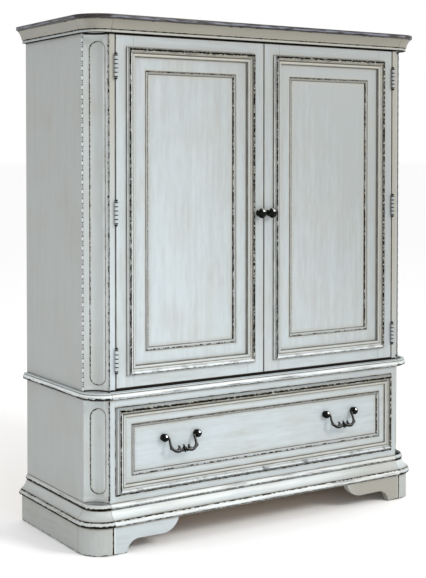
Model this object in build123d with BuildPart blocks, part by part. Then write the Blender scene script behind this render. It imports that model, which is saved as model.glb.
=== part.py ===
from build123d import *
import os

# A painted armoire: two panelled doors over one wide drawer, on a plinth with bracket feet.
# Millimetres. X runs left to right, Y front to back, Z up. The origin is on the floor, under
# the middle of the top panel's outline.

# ------------------------------------------------------------------ driving dimensions

HEIGHT = 1528.0           # floor to the top panel's upper face
BODY_WIDTH = 1176.0       # over the side panels
BODY_DEPTH = 442.0        # front of the face frame to the back edge
TOP_OVERHANG = 32.0       # top panel beyond the body, at the front and at both sides
CORNER_R = 56.0           # the two rounded front corners, in plan

TOP_PANEL_T = 12.0
PANEL_T = 18.0            # side panels, floors and shelves
FRAME_T = 20.0            # face frame, doors and drawer front
BACK_T = 6.0
PLINTH_T = 22.0
PLINTH_PROUD = 18.5       # plinth beyond the body
GLIDE_T = 2.5
JOINT = 0.3               # open joint between two lengths of moulding
GAP = 3.0                 # reveal round the doors and the drawer

PLINTH_TOP = 79.0
BASE_TOP = 142.0          # upper edge of the base moulding
DRAWER_LOW = 162.0        # drawer opening in the face frame
DRAWER_HIGH = 416.0
WAIST_LOW = 438.0         # waist moulding between drawer and doors
WAIST_HIGH = 460.0
DOOR_LOW = 467.0          # door opening in the face frame
DOOR_HIGH = 1478.0
OPENING_HALF = 515.0      # half the width of both openings

HINGE_HEIGHTS = (550.0, 970.0, 1385.0)
KNOB_X, KNOB_Z = 19.0, 958.0
HANDLE_X, HANDLE_Z = 298.0, 311.0
SHELF_HEIGHTS = (795.0, 1125.0)

# ------------------------------------------------------------------ worked-out places

TOP_LOW = HEIGHT - TOP_PANEL_T
HALF = BODY_WIDTH / 2
FRONT = TOP_OVERHANG - (BODY_DEPTH + TOP_OVERHANG) / 2    # front face of frame, doors, drawer
BACK = FRONT + BODY_DEPTH
FRAME_BACK = FRONT + FRAME_T
ARC_X = HALF - CORNER_R                                   # centre of the left corner's arc
ARC_Y = FRONT + CORNER_R
LINING = HALF - PANEL_T                                   # inner face of a side panel
INNER_BACK = BACK - BACK_T

DOOR_X = (-OPENING_HALF + GAP, -GAP / 2)                  # left door: hinge edge, meeting edge
DOOR_Z = (DOOR_LOW + GAP, DOOR_HIGH - GAP)
DRAWER_X = (-OPENING_HALF + GAP, OPENING_HALF - GAP)
DRAWER_Z = (DRAWER_LOW + GAP, DRAWER_HIGH - GAP)

FRONT_SECTION = Plane(origin=(ARC_X, FRONT, 0), x_dir=(0, -1, 0), z_dir=(-1, 0, 0))
LEFT_SECTION = Plane(origin=(-HALF, ARC_Y, 0), x_dir=(-1, 0, 0), z_dir=(0, 1, 0))
LEFT_RUN_SECTION = LEFT_SECTION.offset(JOINT)
LEFT_ARC_AXIS = Axis((-ARC_X, ARC_Y, 0), (0, 0, 1))


# ------------------------------------------------------------------ helpers

def finish(piece, label):
    """Names a finished piece and writes its STEP file."""
    piece.part.label = label
    export_step(piece.part, f"parts/{label}.step")


def board(x, y, z, mode=Mode.ADD):
    """Adds or cuts a rectangular board that spans three (low, high) ranges."""
    spans = [high - low for low, high in (x, y, z)]
    with Locations(tuple(sum(span) / 2 for span in (x, y, z))):
        Box(*spans, mode=mode)


def pair(x, y, z, mode=Mode.ADD):
    """Adds or cuts the same board at the left, where x is given, and at the right."""
    board(x, y, z, mode)
    board((-x[1], -x[0]), y, z, mode)


def mirrored(piece):
    """Makes the right-hand twin of a left-hand piece."""
    with BuildPart() as twin:
        mirror(piece.part, about=Plane.YZ)
    return twin


def inset(span, amount):
    """Shortens a (low, high) range at both ends."""
    return span[0] + amount, span[1] - amount


# ------------------------------------------------------------------ moulding sections
# In each section X is the distance out from the body's face and Y is the height.

def cornice_section():
    """A small nosing under a steep cove that flares out to the top panel."""
    with BuildSketch() as section:
        with BuildLine():
            Polyline((0, TOP_LOW), (0, DOOR_HIGH), (7, DOOR_HIGH))
            ThreePointArc((7, DOOR_HIGH), (12, DOOR_HIGH + 4), (9, DOOR_HIGH + 8.5))
            Line((9, DOOR_HIGH + 8.5), (13.5, DOOR_HIGH + 10.5))
            ThreePointArc((13.5, DOOR_HIGH + 10.5), (18.5, DOOR_HIGH + 25.5), (28, TOP_LOW))
            Line((28, TOP_LOW), (0, TOP_LOW))
        make_face()
    return section.sketch


def waist_section():
    """A half-round bead under a flat fillet."""
    with BuildSketch() as section:
        with BuildLine():
            Polyline((0, WAIST_HIGH), (0, WAIST_LOW), (5, WAIST_LOW), (5, WAIST_LOW + 2))
            ThreePointArc((5, WAIST_LOW + 2), (14.5, WAIST_LOW + 10), (6, WAIST_LOW + 18))
            Polyline((6, WAIST_LOW + 18), (10, WAIST_LOW + 18.5), (10, WAIST_HIGH), (0, WAIST_HIGH))
        make_face()
    return section.sketch


def base_section():
    """A bead, a cove that flares out and a heavier bead that caps the plinth."""
    low = PLINTH_TOP
    with BuildSketch() as section:
        with BuildLine():
            Polyline((0, BASE_TOP), (0, low), (20, low), (20, low + 1))
            ThreePointArc((20, low + 1), (28.5, low + 9.5), (22, low + 18.5))
            Line((22, low + 18.5), (22, low + 20.5))
            ThreePointArc((22, low + 20.5), (10.2, low + 31), (3.5, BASE_TOP - 18))
            Line((3.5, BASE_TOP - 18), (1.5, BASE_TOP - 16))
            ThreePointArc((1.5, BASE_TOP - 16), (5.5, BASE_TOP - 9), (1.5, BASE_TOP - 2))
            Line((1.5, BASE_TOP - 2), (0, BASE_TOP))
        make_face()
    return section.sketch


def front_run(section):
    """A straight length of moulding across the front, between the corner pieces."""
    with BuildPart() as run:
        with BuildSketch(FRONT_SECTION):
            add(section())
        extrude(amount=2 * ARC_X)
    return run


def left_return(section):
    """The curved corner piece and the straight side length that follows it."""
    with BuildPart() as run:
        with BuildSketch(LEFT_SECTION):
            add(section())
        revolve(axis=LEFT_ARC_AXIS, revolution_arc=90)
        with BuildSketch(LEFT_RUN_SECTION):
            add(section())
        extrude(amount=BACK - ARC_Y - JOINT)
    return run


# Framing mouldings: X is the distance in from the frame's outer edge, Y is how far the
# section stands out from the face behind it.

def bolection_section():
    """A raised moulding: a steep outer edge, a rolled crest and a cove down to a fillet."""
    with BuildSketch() as section:
        with BuildLine():
            Polyline((0, 0), (0, 2.5), (3, 9))
            ThreePointArc((3, 9), (6.5, 13.5), (11, 11.5))
            ThreePointArc((11, 11.5), (13.5, 6.5), (18, 4.5))
            Line((18, 4.5), (19, 5.8))
            ThreePointArc((19, 5.8), (23, 6), (27, 2))
            Polyline((27, 2), (27, 0), (0, 0))
        make_face()
    return section.sketch


def inner_section():
    """A small sloping moulding that lines the edge of a sunk field."""
    with BuildSketch() as section:
        with BuildLine():
            Polyline((0, 0), (0, FIELD_SINK + 1), (2.5, FIELD_SINK + 1), (3, FIELD_SINK - 0.5))
            ThreePointArc((3, FIELD_SINK - 0.5), (7.5, FIELD_SINK - 1.5), (10, 1))
            Polyline((10, 1), (10, 0), (0, 0))
        make_face()
    return section.sketch


def mitred_run(section, start, along, inward, length):
    """One length of framing moulding with both of its ends cut at 45 degrees."""
    near = start + along * JOINT
    far = start + along * (length - JOINT)
    with BuildPart() as run:
        with BuildSketch(Plane(origin=start, x_dir=inward, z_dir=along)):
            add(section())
        extrude(amount=length)
        split(bisect_by=Plane(origin=near, z_dir=along - inward), keep=Keep.TOP)
        split(bisect_by=Plane(origin=far, z_dir=along * -1 - inward), keep=Keep.TOP)
    return run.part


def frame_of(section, x, y, z):
    """Four mitred lengths round a rectangle, on a face at the given y."""
    right, up = Vector(1, 0, 0), Vector(0, 0, 1)
    width, height = x[1] - x[0], z[1] - z[0]
    sides = [
        (Vector(x[0], y, z[0]), right, up, width),
        (Vector(x[1], y, z[0]), up, right * -1, height),
        (Vector(x[1], y, z[1]), right * -1, up * -1, width),
        (Vector(x[0], y, z[1]), up * -1, right, height),
    ]
    return [mitred_run(section, *side) for side in sides]


os.makedirs("parts", exist_ok=True)

# ------------------------------------------------------------------ top and mouldings

with BuildPart() as top_panel:
    with BuildSketch(Plane.XY.offset(TOP_LOW)):
        with Locations((0, (FRONT - TOP_OVERHANG + BACK) / 2)):
            Rectangle(BODY_WIDTH + 2 * TOP_OVERHANG, BODY_DEPTH + TOP_OVERHANG)
        front_corners = vertices().group_by(Axis.Y)[0]
        fillet(front_corners, CORNER_R + TOP_OVERHANG)
    extrude(amount=TOP_PANEL_T)
    fillet(faces().sort_by(Axis.Z)[-1].edges(), 2)
    fillet(faces().sort_by(Axis.Z)[0].edges(), 2)
finish(top_panel, "top_panel")

for moulding_name, moulding_section in (
    ("cornice", cornice_section),
    ("waist_moulding", waist_section),
    ("base_moulding", base_section),
):
    left_hand = left_return(moulding_section)
    finish(front_run(moulding_section), f"{moulding_name}_front")
    finish(left_hand, f"{moulding_name}_left")
    finish(mirrored(left_hand), f"{moulding_name}_right")

# ------------------------------------------------------------------ case

with BuildPart() as side_panel_left:
    board((-HALF, -LINING), (ARC_Y, BACK), (PLINTH_TOP, TOP_LOW))
side_panel_right = mirrored(side_panel_left)
finish(side_panel_left, "side_panel_left")
finish(side_panel_right, "side_panel_right")

# Each post is a quarter round with two sunk panels, round at both ends, one above the
# waist and one below. A panel is cut square to the corner's diagonal.
SUNK_PANEL_W = 47.0
SUNK_PANEL_DEPTH = 2.5
SUNK_PANELS = ((165.0, 411.0), (478.0, 1456.0))
CORNER_PLANE = Plane(origin=(-ARC_X, ARC_Y, 0), x_dir=(1, -1, 0), z_dir=(-1, -1, 0))

with BuildPart() as sunk_panel_cutter:
    with BuildSketch(CORNER_PLANE):
        for panel_low, panel_high in SUNK_PANELS:
            with Locations((0, (panel_low + panel_high) / 2)):
                SlotOverall(panel_high - panel_low, SUNK_PANEL_W, rotation=90)
    extrude(amount=CORNER_R + 5)
    with BuildSketch(Plane.XY):
        with Locations((-ARC_X, ARC_Y)):
            Circle(CORNER_R - SUNK_PANEL_DEPTH)
    extrude(amount=HEIGHT, mode=Mode.SUBTRACT)

with BuildPart() as corner_post_left:
    with BuildSketch(Plane.XY.offset(PLINTH_TOP)):
        with BuildLine():
            Line((-ARC_X, ARC_Y), (-HALF, ARC_Y))
            RadiusArc((-HALF, ARC_Y), (-ARC_X, FRONT), CORNER_R)
            Line((-ARC_X, FRONT), (-ARC_X, ARC_Y))
        make_face()
    extrude(amount=TOP_LOW - PLINTH_TOP)
    add(sunk_panel_cutter.part, mode=Mode.SUBTRACT)
corner_post_right = mirrored(corner_post_left)
finish(corner_post_left, "corner_post_left")
finish(corner_post_right, "corner_post_right")

BEAD_STRIP_R = 4.0
with BuildPart() as bead_strips:
    with BuildSketch(Plane.XY.offset(WAIST_HIGH)):
        with Locations((-HALF, ARC_Y), (HALF, ARC_Y)):
            Circle(BEAD_STRIP_R)
        with Locations((0, ARC_Y)):
            Rectangle(BODY_WIDTH, 2 * BEAD_STRIP_R, mode=Mode.SUBTRACT)
    extrude(amount=DOOR_HIGH - WAIST_HIGH)
finish(bead_strips, "bead_strips")

with BuildPart() as face_frame_stiles:
    pair((-ARC_X, -OPENING_HALF), (FRONT, FRAME_BACK), (PLINTH_TOP, TOP_LOW))
finish(face_frame_stiles, "face_frame_stiles")

with BuildPart() as face_frame_rails:
    for rail in ((PLINTH_TOP, DRAWER_LOW), (DRAWER_HIGH, DOOR_LOW), (DOOR_HIGH, TOP_LOW)):
        board((-OPENING_HALF, OPENING_HALF), (FRONT, FRAME_BACK), rail)
finish(face_frame_rails, "face_frame_rails")


def case_floor(z, front=FRAME_BACK):
    """A full-width panel notched round the corner posts and the face frame's stiles."""
    board((-LINING, LINING), (front, INNER_BACK), z)
    pair((-LINING, -ARC_X), (FRONT, ARC_Y), z, Mode.SUBTRACT)


with BuildPart() as bottom_panel:
    case_floor((BASE_TOP - PANEL_T, BASE_TOP))
finish(bottom_panel, "bottom_panel")

with BuildPart() as cupboard_floor:
    case_floor((DOOR_LOW - PANEL_T, DOOR_LOW))
finish(cupboard_floor, "cupboard_floor")

DOOR_STOP_GAP = 0.5
with BuildPart() as cupboard_top:
    case_floor((DOOR_HIGH - PANEL_T + 2, DOOR_HIGH + 2), FRAME_BACK + DOOR_STOP_GAP)
finish(cupboard_top, "cupboard_top")

with BuildPart() as back_panel:
    board((-LINING, LINING), (INNER_BACK, BACK), (PLINTH_TOP, TOP_LOW))
finish(back_panel, "back_panel")

SHELF_FRONT = ARC_Y + 4
CLEAT = 18.0
with BuildPart() as shelves:
    for height in SHELF_HEIGHTS:
        board((1 - LINING, LINING - 1), (SHELF_FRONT, INNER_BACK - 2), (height, height + PANEL_T))
finish(shelves, "shelves")

with BuildPart() as shelf_cleats:
    for height in SHELF_HEIGHTS:
        pair((-LINING, CLEAT - LINING), (SHELF_FRONT + 20, INNER_BACK - 20), (height - CLEAT, height))
finish(shelf_cleats, "shelf_cleats")

# ------------------------------------------------------------------ plinth

BLOCK_R = CORNER_R + PLINTH_PROUD
PLINTH_Z = (GLIDE_T, PLINTH_TOP)

with BuildPart() as plinth_blocks:
    with BuildSketch(Plane.XY.offset(GLIDE_T)):
        for side in (-1, 1):
            with Locations((side * ARC_X, ARC_Y)):
                Circle(BLOCK_R)
                Circle(BLOCK_R - PLINTH_T, mode=Mode.SUBTRACT)
        with Locations((0, ARC_Y)):
            Rectangle(2 * ARC_X, 4 * BLOCK_R, mode=Mode.SUBTRACT)
            Rectangle(4 * HALF, 4 * BLOCK_R, align=(Align.CENTER, Align.MIN), mode=Mode.SUBTRACT)
    extrude(amount=PLINTH_TOP - GLIDE_T)
finish(plinth_blocks, "plinth_blocks")

# A bracket foot: a narrow heel, a concave curve up to a level stretch and a convex curve
# that meets the base moulding. Distances are measured in from the corner block.
HEEL_W = 43.0
LEDGE_START, LEDGE_END = 86.0, 158.0
LEDGE_Z = 38.0
BRACKET_W = 217.0
FOOT_PLANE = Plane(origin=(-ARC_X + JOINT, FRONT - PLINTH_PROUD, 0), x_dir=(1, 0, 0), z_dir=(0, 1, 0))

with BuildPart() as bracket_feet:
    with BuildSketch(FOOT_PLANE):
        with BuildLine():
            Polyline((0, -PLINTH_TOP), (0, -GLIDE_T), (HEEL_W, -GLIDE_T))
            ThreePointArc((HEEL_W, -GLIDE_T), (58, -29), (LEDGE_START, -LEDGE_Z))
            Line((LEDGE_START, -LEDGE_Z), (LEDGE_END, -LEDGE_Z + 1))
            ThreePointArc((LEDGE_END, -LEDGE_Z + 1), (197, -49), (BRACKET_W, -PLINTH_TOP))
            Line((BRACKET_W, -PLINTH_TOP), (0, -PLINTH_TOP))
        make_face()
    extrude(amount=PLINTH_T)
    mirror(about=Plane.YZ)
finish(bracket_feet, "bracket_feet")

with BuildPart() as side_skirts:
    skirt_outside = -HALF - PLINTH_PROUD
    pair((skirt_outside, skirt_outside + PLINTH_T), (ARC_Y + JOINT, BACK), PLINTH_Z)
finish(side_skirts, "side_skirts")

with BuildPart() as back_skirt:
    back_skirt_half = HALF + PLINTH_PROUD - PLINTH_T
    board((-back_skirt_half, back_skirt_half), (BACK - PLINTH_T, BACK), PLINTH_Z)
finish(back_skirt, "back_skirt")

GLIDE_R = 10.0
with BuildPart() as glides:
    block_middle = (BLOCK_R - PLINTH_T / 2) * 2 ** -0.5
    skirt_middle = HALF + PLINTH_PROUD - PLINTH_T / 2
    with Locations(*[
        (side * x, y, GLIDE_T / 2)
        for side in (-1, 1)
        for x, y in ((ARC_X + block_middle, ARC_Y - block_middle), (skirt_middle, BACK - 40))
    ]):
        Cylinder(GLIDE_R, GLIDE_T)
finish(glides, "glides")

# ------------------------------------------------------------------ left door and its twin

STILE_W = 57.0
RAIL_W = 60.0
GROOVE = 8.0                  # depth of the groove that holds the panel
DOOR_PANEL_Y = (FRONT + 4, FRONT + 14)
FIELD_SINK = 5.0              # sunk field behind the panel's border
DOOR_RING = 34.0              # bolection moulding, in from the door's edges
FIELD_EDGE = 99.0             # sunk field, in from the door's edges
DOOR_Y = (FRONT, FRAME_BACK)
STUD_R = 2.0
STUD_CLEARANCE = 0.2
NUT_R, NUT_T = 4.5, 3.0

rail_x = inset(DOOR_X, STILE_W)
light_x = inset(DOOR_X, STILE_W - GROOVE)
light_z = inset(DOOR_Z, RAIL_W - GROOVE)

with BuildPart() as left_door_stiles:
    board((DOOR_X[0], rail_x[0]), DOOR_Y, DOOR_Z)
    board((rail_x[1], DOOR_X[1]), DOOR_Y, DOOR_Z)
    board(light_x, DOOR_PANEL_Y, light_z, Mode.SUBTRACT)
    with BuildSketch(Plane.XZ.offset(-FRONT)):
        with Locations((-KNOB_X, KNOB_Z)):
            Circle(STUD_R + STUD_CLEARANCE)
    extrude(amount=-FRAME_T, mode=Mode.SUBTRACT)

with BuildPart() as left_door_rails:
    board(rail_x, DOOR_Y, (DOOR_Z[0], DOOR_Z[0] + RAIL_W))
    board(rail_x, DOOR_Y, (DOOR_Z[1] - RAIL_W, DOOR_Z[1]))
    board(light_x, DOOR_PANEL_Y, light_z, Mode.SUBTRACT)

field_x = inset(DOOR_X, FIELD_EDGE)
field_z = inset(DOOR_Z, FIELD_EDGE)
field_y = DOOR_PANEL_Y[0] + FIELD_SINK
with BuildPart() as left_door_panel:
    board(light_x, DOOR_PANEL_Y, light_z)
    board(field_x, (DOOR_PANEL_Y[0], field_y), field_z, Mode.SUBTRACT)

door_ring_x = inset(DOOR_X, DOOR_RING)
door_ring_z = inset(DOOR_Z, DOOR_RING)
with BuildPart() as left_door_moulding:
    add(frame_of(bolection_section, door_ring_x, FRONT, door_ring_z))

with BuildPart() as left_door_inner_moulding:
    add(frame_of(inner_section, field_x, field_y, field_z))

# The knob is turned: a base, a neck, a rim and a domed face, on a stud through the stile
# that a cap nut holds from behind.
KNOB_PLANE = Plane(origin=(-KNOB_X, FRONT, KNOB_Z), x_dir=(1, 0, 0), z_dir=(0, 0, 1))
with BuildPart() as left_knob:
    with BuildSketch(KNOB_PLANE):
        with BuildLine():
            Polyline((0, FRAME_T + 3), (0, 0), (0, -31))
            ThreePointArc((0, -31), (9, -28.5), (13.5, -23))
            ThreePointArc((13.5, -23), (15.5, -19.5), (14, -16))
            ThreePointArc((14, -16), (8.5, -11), (6, -5.5))
            Polyline((6, -5.5), (10.5, -3), (10.5, 0), (STUD_R, 0))
            Polyline((STUD_R, 0), (STUD_R, FRAME_T + 3), (0, FRAME_T + 3))
        make_face()
    revolve(axis=Axis((-KNOB_X, FRONT, KNOB_Z), (0, 1, 0)))
    nut_plane = Plane(origin=(-KNOB_X, FRAME_BACK, KNOB_Z), z_dir=(0, 1, 0))
    with BuildSketch(nut_plane):
        RegularPolygon(NUT_R, 6)
        Circle(STUD_R + STUD_CLEARANCE / 2, mode=Mode.SUBTRACT)
    extrude(amount=NUT_T)

# Magnetic catch: a block under the cupboard's top, and a steel plate on each door.
CATCH_HALF = 22.0
CATCH_Z = (DOOR_HIGH - PANEL_T - 12, DOOR_HIGH - PANEL_T + 2)
PLATE_T = 1.2
with BuildPart() as door_catch:
    board((-CATCH_HALF, CATCH_HALF), (FRAME_BACK + PLATE_T + DOOR_STOP_GAP, FRAME_BACK + 24), CATCH_Z)
finish(door_catch, "door_catch")

with BuildPart() as left_catch_plate:
    board((-CATCH_HALF, -4), (FRAME_BACK, FRAME_BACK + PLATE_T), inset(CATCH_Z, 2))

# ------------------------------------------------------------------ barrel hinges

PIN_R = 2.0
PIN_PRESS = 0.02              # pin in the frame leaf's knuckles
PIN_RUNNING = 0.05            # door leaf's knuckles on the pin
BARREL_R = 5.0
KNUCKLE_H = 12.0
KNUCKLE_GAP = 0.3
LEAF_T = 1.4
LEAF_DEPTH = 16.0
FINIAL_H = 9.0
PIN_X = -OPENING_HALF + GAP / 2
PIN_Y = FRONT - BARREL_R - 0.3
BARREL_H = 5 * KNUCKLE_H


def knuckle_spans(middle, indices):
    """Height ranges of some of the five knuckles of the hinge at a given height."""
    low = middle - BARREL_H / 2
    return [inset((low + i * KNUCKLE_H, low + (i + 1) * KNUCKLE_H), KNUCKLE_GAP / 2) for i in indices]


def hinge_leaf(leaf_x, middle, indices, bore_r):
    """A leaf in the gap beside the door, with its knuckles and the tabs that carry them."""
    board(leaf_x, (FRONT, FRONT + LEAF_DEPTH), (middle - BARREL_H / 2, middle + BARREL_H / 2))
    for low, high in knuckle_spans(middle, indices):
        board(leaf_x, (PIN_Y, FRONT), (low, high))
        with Locations((PIN_X, PIN_Y, (low + high) / 2)):
            Cylinder(BARREL_R, high - low)
            Cylinder(bore_r, high - low, mode=Mode.SUBTRACT)


def pin_section():
    """Half of a hinge pin's outline: X is the radius, Y runs along the pin from its middle."""
    top = BARREL_H / 2
    shank = PIN_R - PIN_PRESS
    with BuildSketch() as section:
        with BuildLine():
            Polyline((0, 0), (shank, 0), (shank, top), (BARREL_R, top))
            Polyline((BARREL_R, top), (BARREL_R, top + 1.5), (3, top + 2.5))
            ThreePointArc((3, top + 2.5), (4, top + 4.5), (2, top + 7))
            Polyline((2, top + 7), (0, top + FINIAL_H), (0, 0))
        make_face()
        mirror(about=Plane.XZ)
    return section.sketch


with BuildPart() as left_hinge_frame_leaves:
    for height in HINGE_HEIGHTS:
        hinge_leaf((-OPENING_HALF, -OPENING_HALF + LEAF_T), height, (0, 2, 4), PIN_R)
    for height in HINGE_HEIGHTS:
        with BuildSketch(Plane(origin=(PIN_X, PIN_Y, height), x_dir=(1, 0, 0), z_dir=(0, -1, 0))):
            add(pin_section())
        revolve(axis=Axis((PIN_X, PIN_Y, height), (0, 0, 1)))
with BuildPart() as left_hinge_door_leaves:
    for height in HINGE_HEIGHTS:
        hinge_leaf((DOOR_X[0] - LEAF_T, DOOR_X[0]), height, (1, 3), PIN_R + PIN_RUNNING)

for left_piece, piece_name in (
    (left_door_stiles, "door_stiles"),
    (left_door_rails, "door_rails"),
    (left_door_panel, "door_panel"),
    (left_door_moulding, "door_moulding"),
    (left_door_inner_moulding, "door_inner_moulding"),
    (left_knob, "knob"),
    (left_catch_plate, "catch_plate"),
    (left_hinge_frame_leaves, "hinge_frame_leaves"),
    (left_hinge_door_leaves, "hinge_door_leaves"),
):
    finish(left_piece, f"left_{piece_name}")
    finish(mirrored(left_piece), f"right_{piece_name}")

# ------------------------------------------------------------------ drawer

DRAWER_RING = 1.5             # bolection moulding, in from the drawer front's edges
DRAWER_FIELD_EDGE = 50.0
DRAWER_SIDE_T = 12.0
SLIDE_T = 13.0                # room for a three-part slide at each side
DRAWER_BACK_Y = 185.0
BOX_Z = (172.0, 352.0)
BOX_BOTTOM_Z = (178.0, 184.0)
POST_SPACING = 113.0
POST_X = [side * HANDLE_X + end * POST_SPACING / 2 for side in (-1, 1) for end in (-1, 1)]

box_half = OPENING_HALF - SLIDE_T
box_inside = box_half - DRAWER_SIDE_T
drawer_field_x = inset(DRAWER_X, DRAWER_FIELD_EDGE)
drawer_field_z = inset(DRAWER_Z, DRAWER_FIELD_EDGE)
drawer_field_y = FRONT + FIELD_SINK

with BuildPart() as drawer_front:
    board(DRAWER_X, DOOR_Y, DRAWER_Z)
    board(drawer_field_x, (FRONT, drawer_field_y), drawer_field_z, Mode.SUBTRACT)
    with BuildSketch(Plane.XZ.offset(-FRONT)):
        with Locations(*[(x, HANDLE_Z) for x in POST_X]):
            Circle(STUD_R + STUD_CLEARANCE)
    extrude(amount=-FRAME_T, mode=Mode.SUBTRACT)
finish(drawer_front, "drawer_front")

ring_x = inset(DRAWER_X, DRAWER_RING)
ring_z = inset(DRAWER_Z, DRAWER_RING)
with BuildPart() as drawer_moulding:
    add(frame_of(bolection_section, ring_x, FRONT, ring_z))
finish(drawer_moulding, "drawer_moulding")

with BuildPart() as drawer_inner_moulding:
    add(frame_of(inner_section, drawer_field_x, drawer_field_y, drawer_field_z))
finish(drawer_inner_moulding, "drawer_inner_moulding")

with BuildPart() as drawer_sides:
    pair((-box_half, -box_inside), (FRAME_BACK, DRAWER_BACK_Y), BOX_Z)
finish(drawer_sides, "drawer_sides")

with BuildPart() as drawer_back:
    drawer_back_y = (DRAWER_BACK_Y - DRAWER_SIDE_T, DRAWER_BACK_Y)
    board((-box_inside, box_inside), drawer_back_y, (BOX_BOTTOM_Z[1], BOX_Z[1]))
finish(drawer_back, "drawer_back")

with BuildPart() as drawer_bottom:
    board((-box_inside, box_inside), (FRAME_BACK, DRAWER_BACK_Y), BOX_BOTTOM_Z)
finish(drawer_bottom, "drawer_bottom")

# Three-part slides: each part is a channel that runs inside the one before it.
SLIDE_Z = 262.0
SLIDE_Y = (FRAME_BACK + 2, FRAME_BACK + 352)
CHANNEL_T = 1.2
RUNNER_BLOCK_H = 60.0


def channels(depths, half_height, web_at_drawer=False):
    """A left and a right channel. Depths are measured in from the runner block's face."""
    x = (-OPENING_HALF + depths[0], -OPENING_HALF + depths[1])
    web = (x[1] - CHANNEL_T, x[1]) if web_at_drawer else (x[0], x[0] + CHANNEL_T)
    pair(web, SLIDE_Y, (SLIDE_Z - half_height, SLIDE_Z + half_height))
    pair(x, SLIDE_Y, (SLIDE_Z + half_height - CHANNEL_T, SLIDE_Z + half_height))
    pair(x, SLIDE_Y, (SLIDE_Z - half_height, SLIDE_Z - half_height + CHANNEL_T))


with BuildPart() as runner_blocks:
    runner_z = (SLIDE_Z - RUNNER_BLOCK_H / 2, SLIDE_Z + RUNNER_BLOCK_H / 2)
    pair((-LINING, -OPENING_HALF), (ARC_Y, INNER_BACK), runner_z)
finish(runner_blocks, "runner_blocks")

with BuildPart() as slide_case_members:
    channels((0, 9), 22.5)
finish(slide_case_members, "slide_case_members")

with BuildPart() as slide_middle_members:
    channels((2, 10.5), 20)
finish(slide_middle_members, "slide_middle_members")

with BuildPart() as slide_drawer_members:
    channels((4.5, SLIDE_T), 17, web_at_drawer=True)
finish(slide_drawer_members, "slide_drawer_members")

# ------------------------------------------------------------------ drawer handles

BALL_R = 12.0
BALL_OUT = 10.0               # ball's centre in front of the sunk field
ROSE_R, ROSE_T = 10.5, 2.0    # thin rose behind the ball
BALL_Y = drawer_field_y - BALL_OUT
BAIL_R = 2.4
SOCKET_R = BAIL_R + 0.06
SOCKET_DEPTH = 7.0
BAIL_END = POST_SPACING / 2 - BALL_R + SOCKET_DEPTH - 0.5
BAIL_TILT = 27.0              # the bail hangs this far out from the vertical, on its stops

stud_end = FRAME_BACK + 3.5 - drawer_field_y
cut_r = (BALL_R ** 2 - (BALL_OUT - ROSE_T) ** 2) ** 0.5     # where the ball meets the rose
with BuildPart() as handle_posts:
    for post in POST_X:
        post_foot = (post, drawer_field_y, HANDLE_Z)
        with BuildSketch(Plane(origin=post_foot, x_dir=(1, 0, 0), z_dir=(0, 0, 1))):
            with BuildLine():
                Polyline((0, stud_end), (0, -BALL_OUT - BALL_R))
                ThreePointArc((0, -BALL_OUT - BALL_R), (BALL_R, -BALL_OUT), (cut_r, -ROSE_T))
                Polyline((cut_r, -ROSE_T), (ROSE_R, -ROSE_T), (ROSE_R, 0), (STUD_R, 0))
                Polyline((STUD_R, 0), (STUD_R, stud_end), (0, stud_end))
            make_face()
        revolve(axis=Axis(post_foot, (0, 1, 0)))
        with BuildSketch(Plane(origin=(post, FRAME_BACK, HANDLE_Z), z_dir=(0, 1, 0))):
            RegularPolygon(NUT_R, 6)
            Circle(STUD_R + STUD_CLEARANCE / 2, mode=Mode.SUBTRACT)
        extrude(amount=NUT_T)
        handle_middle = HANDLE_X if post > 0 else -HANDLE_X
        toward = 1 if post < handle_middle else -1
        socket_floor = post + toward * (BALL_R - SOCKET_DEPTH)
        with BuildSketch(Plane(origin=(socket_floor, BALL_Y, HANDLE_Z), z_dir=(toward, 0, 0))):
            Circle(SOCKET_R)
        extrude(amount=BALL_R, mode=Mode.SUBTRACT)
finish(handle_posts, "handle_posts")


def bail(middle):
    """A swan-neck bail: a rod with two bellies and a turned drop where they meet."""
    plane = Plane(origin=(middle, BALL_Y, HANDLE_Z), x_dir=(1, 0, 0), z_dir=(0, -1, 0))
    plane = plane.rotated((-BAIL_TILT, 0, 0))
    half = [(BAIL_END, 0), (41.5, 0), (44, -31), (29, -48), (13, -46)]
    points = [(-x, y) for x, y in half] + [(0, -33)] + half[::-1]
    with BuildPart() as rod:
        with BuildLine(plane) as route:
            FilletPolyline(*points, radius=[3, 14, 12, 8, 4, 8, 12, 14, 3])
        with BuildSketch(Plane(origin=route.line @ 0, z_dir=route.line % 0)):
            Circle(BAIL_R)
        sweep()
        with BuildSketch(plane):
            with BuildLine():
                Polyline((0, -26), (2.2, -26.5), (5.2, -36), (5.5, -38), (4.8, -41), (0, -50), (0, -26))
            make_face()
        drop_axis = Axis(plane.from_local_coords(Vector(0, 0, 0)), plane.y_dir)
        revolve(axis=drop_axis)
    return rod


finish(bail(-HANDLE_X), "left_bail")
finish(bail(HANDLE_X), "right_bail")
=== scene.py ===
"""A distressed antique-white armoire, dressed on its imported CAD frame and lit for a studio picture."""
import math

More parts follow.
